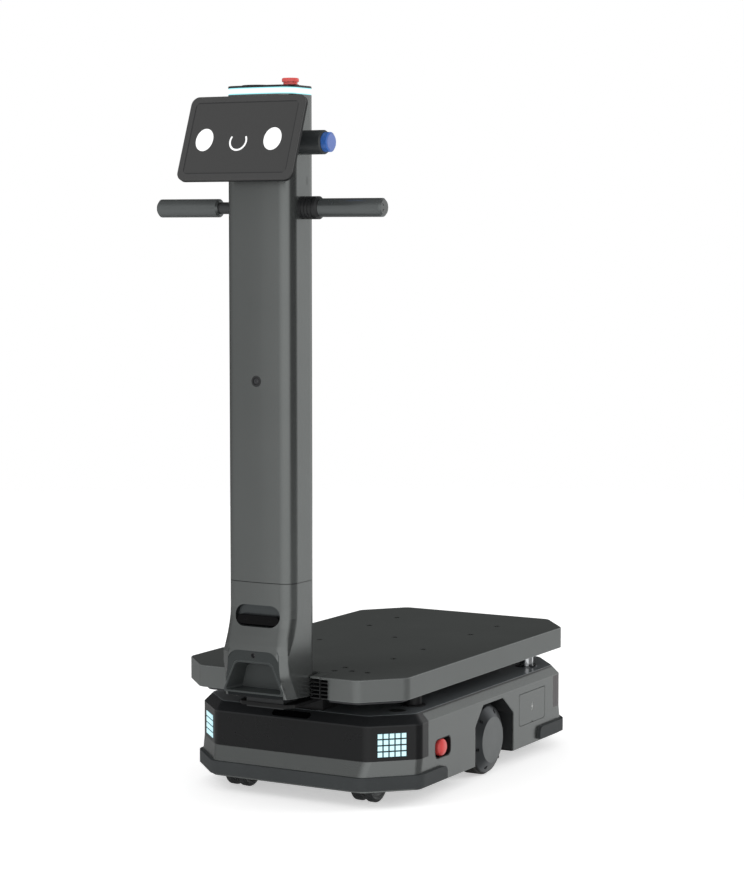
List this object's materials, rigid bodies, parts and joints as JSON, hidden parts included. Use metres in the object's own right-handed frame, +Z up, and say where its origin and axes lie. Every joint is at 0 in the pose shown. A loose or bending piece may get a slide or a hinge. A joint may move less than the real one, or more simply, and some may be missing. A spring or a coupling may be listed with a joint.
{
  "type": "autonomous mobile robot",
  "caption": "Low octagonal drive base with bumpers and casters, lifting load platform, and a front mast with display, handles, light ring and emergency stops.",
  "frame": {"origin": "middle of the robot's box in plan, on the floor the wheels stand on", "axes": "+Z up; -Y the way the robot drives, towards its display; +X its left-hand side when it faces -Y, the side with the charging flap"},
  "size_m": [0.498, 0.983, 1.35],
  "materials": {
    "body_cover": "satin, fine grain, dark grey",
    "mast_cover": "satin powder coat, dark grey",
    "gloss_black": "high gloss, black",
    "smoked": "smoked translucent lens",
    "lamp": "lit white lamp covers",
    "bumper": "soft matt bumper",
    "tyre": "moulded rubber tread",
    "wheel_grey": "moulded wheel",
    "hub_alu": "cast and turned",
    "hub_cover": "satin, dark grey",
    "steel": "ground",
    "frame_paint": "black powder coat",
    "chrome": "hard chrome, polished",
    "platform_paint": "fine textured powder coat",
    "black_plastic": "matt black",
    "red": "glossy red",
    "blue": "glossy blue",
    "grip": "soft dark grip",
    "battery": "moulded case",
    "display_case": "satin, dark grey",
    "screen": "gloss cover glass over a dark panel"
  },
  "bodies": {
    "base": {"body_shell": "body_cover", "rear_lights": "smoked", "front_cover": "gloss_black", "nose_window": "smoked", "top_deck": "gloss_black", "front_bumper": "bumper", "rear_bumper": "bumper", "corner_lights": "lamp", "chassis_plate": "frame_paint", "belly_pan": "frame_paint", "wheel_wells": "black_plastic", "axle_brackets": "steel", "caster_mounts": "steel", "charge_recess": "black_plastic", "battery_pack": "battery", "controller_box": "frame_paint", "lift_drive": "steel", "guide_bushes": "steel", "alcove_liner": "body_cover", "depth_camera": "gloss_black", "column_foot": "mast_cover", "foot_tray": "gloss_black", "mast_base_plate": "frame_paint", "frame_bolts": "steel", "mast_core": "hub_alu", "column_tube": "mast_cover", "mast_cameras": "black_plastic", "light_ring": "lamp", "top_cap": "black_plastic", "stop_bases": "black_plastic", "display_case": "display_case", "display_glass": "screen", "display_arm": "mast_cover", "handle_bar": "steel", "handle_grips": "grip", "side_collars": "black_plastic", "plugs_and_studs": "black_plastic"},
    "platform": {"load_plate": "platform_paint", "platform_frame": "frame_paint", "platform_louvre": "black_plastic", "guide_posts": "chrome"},
    "wheel_left": {"tyre_left": "tyre", "hub_left": "hub_alu", "hub_cover_left": "hub_cover"},
    "wheel_right": {"tyre_right": "tyre", "hub_right": "hub_alu", "hub_cover_right": "hub_cover"},
    "top_stop": {"top_stop_button": "red"},
    "stop_left": {"side_stop_left": "red"},
    "stop_right": {"side_stop_right": "red"},
    "mode_switch": {"mode_button": "blue"},
    "charging_door": {"charge_flap": "body_cover"},
    "caster_front_left": {"caster_fork_front_left": "steel"},
    "caster_front_left_pair": {"caster_wheels_front_left": "wheel_grey"},
    "caster_front_right": {"caster_fork_front_right": "steel"},
    "caster_front_right_pair": {"caster_wheels_front_right": "wheel_grey"},
    "caster_rear_left": {"caster_fork_rear_left": "steel"},
    "caster_rear_left_pair": {"caster_wheels_rear_left": "wheel_grey"},
    "caster_rear_right": {"caster_fork_rear_right": "steel"},
    "caster_rear_right_pair": {"caster_wheels_rear_right": "wheel_grey"}
  },
  "joints": [
    {"name": "platform_lift", "type": "slide", "parent": "base", "child": "platform", "axis": [0, 0, 1], "range_m": [0, 0.06]},
    {"name": "wheel_left_spin", "type": "hinge", "parent": "base", "child": "wheel_left", "pos_m": [-0.208, 0.07752, 0.07], "axis": [1, 0, 0], "continuous": true},
    {"name": "wheel_right_spin", "type": "hinge", "parent": "base", "child": "wheel_right", "pos_m": [0.208, 0.07752, 0.07], "axis": [1, 0, 0], "continuous": true},
    {"name": "caster_front_left_swivel", "type": "hinge", "parent": "base", "child": "caster_front_left", "pos_m": [-0.14, -0.21648, 0.075], "axis": [0, 0, 1], "continuous": true},
    {"name": "caster_front_left_roll", "type": "hinge", "parent": "caster_front_left", "child": "caster_front_left_pair", "pos_m": [-0.14253, -0.23834, 0.0315], "axis": [0.9934, -0.1149, 0], "continuous": true},
    {"name": "caster_front_right_swivel", "type": "hinge", "parent": "base", "child": "caster_front_right", "pos_m": [0.14, -0.21648, 0.075], "axis": [0, 0, 1], "continuous": true},
    {"name": "caster_front_right_roll", "type": "hinge", "parent": "caster_front_right", "child": "caster_front_right_pair", "pos_m": [0.13747, -0.23834, 0.0315], "axis": [0.9934, -0.1149, 0], "continuous": true},
    {"name": "caster_rear_left_swivel", "type": "hinge", "parent": "base", "child": "caster_rear_left", "pos_m": [-0.14, 0.39052, 0.075], "axis": [0, 0, 1], "continuous": true},
    {"name": "caster_rear_left_roll", "type": "hinge", "parent": "caster_rear_left", "child": "caster_rear_left_pair", "pos_m": [-0.14253, 0.36866, 0.0315], "axis": [0.9934, -0.1149, 0], "continuous": true},
    {"name": "caster_rear_right_swivel", "type": "hinge", "parent": "base", "child": "caster_rear_right", "pos_m": [0.14, 0.39052, 0.075], "axis": [0, 0, 1], "continuous": true},
    {"name": "caster_rear_right_roll", "type": "hinge", "parent": "caster_rear_right", "child": "caster_rear_right_pair", "pos_m": [0.13747, 0.36866, 0.0315], "axis": [0.9934, -0.1149, 0], "continuous": true},
    {"name": "top_stop_press", "type": "slide", "parent": "base", "child": "top_stop", "axis": [0, 0, -1], "range_m": [0, 0.004], "stiffness_N_per_m": 1500, "springref_m": -0.004},
    {"name": "side_stop_left_press", "type": "slide", "parent": "base", "child": "stop_left", "axis": [1, 0, 0], "range_m": [0, 0.005], "stiffness_N_per_m": 1500, "springref_m": -0.004},
    {"name": "side_stop_right_press", "type": "slide", "parent": "base", "child": "stop_right", "axis": [-1, 0, 0], "range_m": [0, 0.005], "stiffness_N_per_m": 1500, "springref_m": -0.004},
    {"name": "mode_button_press", "type": "slide", "parent": "base", "child": "mode_switch", "axis": [-1, 0, 0], "range_m": [0, 0.003], "stiffness_N_per_m": 1500, "springref_m": -0.004},
    {"name": "charging_flap_hinge", "type": "hinge", "parent": "base", "child": "charging_door", "pos_m": [0.2395, 0.25352, 0.1375], "axis": [0, -1, 0], "range_deg": [0, 95]}
  ]
}
